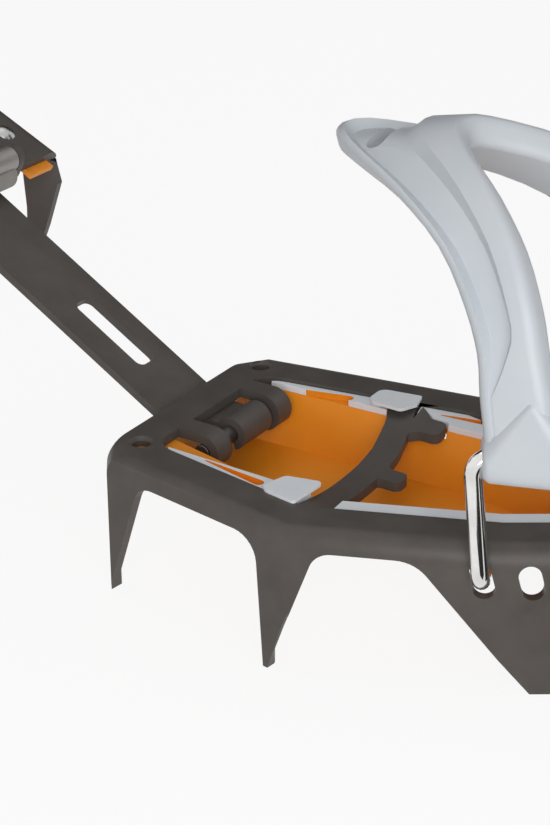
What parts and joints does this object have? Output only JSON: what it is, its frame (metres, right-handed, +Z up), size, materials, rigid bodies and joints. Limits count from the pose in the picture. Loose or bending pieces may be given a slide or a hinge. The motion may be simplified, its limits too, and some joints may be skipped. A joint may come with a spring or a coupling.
{
  "type": "semi-automatic crampon",
  "caption": "Right-foot crampon: pressed steel front and heel frames with points, hooked linking bar with length lock, moulded toe piece on wires, heel lever, snow plates.",
  "frame": {"origin": "on the boot platform of the front frame, midway between the two holes of its rear crosspiece", "axes": "+X to the toe, +Y to the inner side of the foot, +Z up out of the boot platform"},
  "size_m": [0.3557, 0.1066, 0.2265],
  "materials": {
    "frame": "satin dark grey coating over pressed steel",
    "snow_plate": "orange moulded plastic",
    "rim": "light grey moulded plastic",
    "toe_piece": "pale grey moulded plastic, satin",
    "wire": "bright drawn stainless wire",
    "bar": "satin dark grey coating over spring steel",
    "steel": "plain steel",
    "tongue": "light grey pressed steel",
    "lever": "pale grey moulded plastic"
  },
  "bodies": {
    "front": {"front_frame": "frame", "front_snow_plate": "snow_plate", "front_snow_rim": "rim"},
    "toe_binding": {"toe_cage": "toe_piece", "toe_foot_outer": "toe_piece", "toe_foot_inner": "toe_piece", "toe_wire_outer": "wire", "toe_wire_inner": "wire"},
    "bar": {"link_bar": "bar", "bar_pin": "steel"},
    "heel": {"heel_frame": "frame", "heel_snow_plate": "snow_plate", "bar_guide": "frame", "guide_rivets": "steel", "plate_rivets": "steel", "lock_pin": "steel"},
    "lock": {"lock_tongue": "tongue", "lock_stud": "steel"},
    "heel_bail": {"heel_wire": "wire"},
    "saddle": {"wire_saddle": "steel"},
    "lever": {"heel_lever": "lever"},
    "wheel": {"adjust_wheel": "steel", "adjust_screw": "steel"}
  },
  "joints": [
    {"name": "toe_rock", "type": "hinge", "parent": "front", "child": "toe_binding", "pos_m": [0.1115, 0.008, -0.01], "axis": [0, 1, 0], "range_deg": [-2, 2]},
    {"name": "bar_pivot", "type": "hinge", "parent": "front", "child": "bar", "pos_m": [0.0122, 0.0025, -0.00595], "axis": [0, 1, 0], "range_deg": [-22, 0]},
    {"name": "heel_slide", "type": "slide", "parent": "bar", "child": "heel", "axis": [0.866, 0, -0.5], "range_m": [-0.04, 0]},
    {"name": "lock_hinge", "type": "hinge", "parent": "heel", "child": "lock", "pos_m": [-0.08954, 0.0025, 0.05344], "axis": [0, 1, 0], "range_deg": [0, 24]},
    {"name": "bail_hinge", "type": "hinge", "parent": "heel", "child": "heel_bail", "pos_m": [-0.13997, 0.0025, 0.06709], "axis": [0, 1, 0], "range_deg": [-25, 20]},
    {"name": "lever_hinge", "type": "hinge", "parent": "heel_bail", "child": "saddle", "pos_m": [-0.14095, 0.0025, 0.12539], "axis": [0, 1, 0], "range_deg": [-40, 25]},
    {"name": "lever_slide", "type": "slide", "parent": "saddle", "child": "lever", "axis": [0.5, 0, 0.866], "range_m": [-0.003, 0.003]},
    {"name": "wheel_turn", "type": "hinge", "parent": "lever", "child": "wheel", "pos_m": [-0.14623, 0.0025, 0.12844], "axis": [0.5, 0, 0.866], "range_deg": [-720, 720]}
  ],
  "couplings": [
    {"joint": "wheel_turn", "follows": "lever_slide", "rad_per_m": 4188.8}
  ]
}
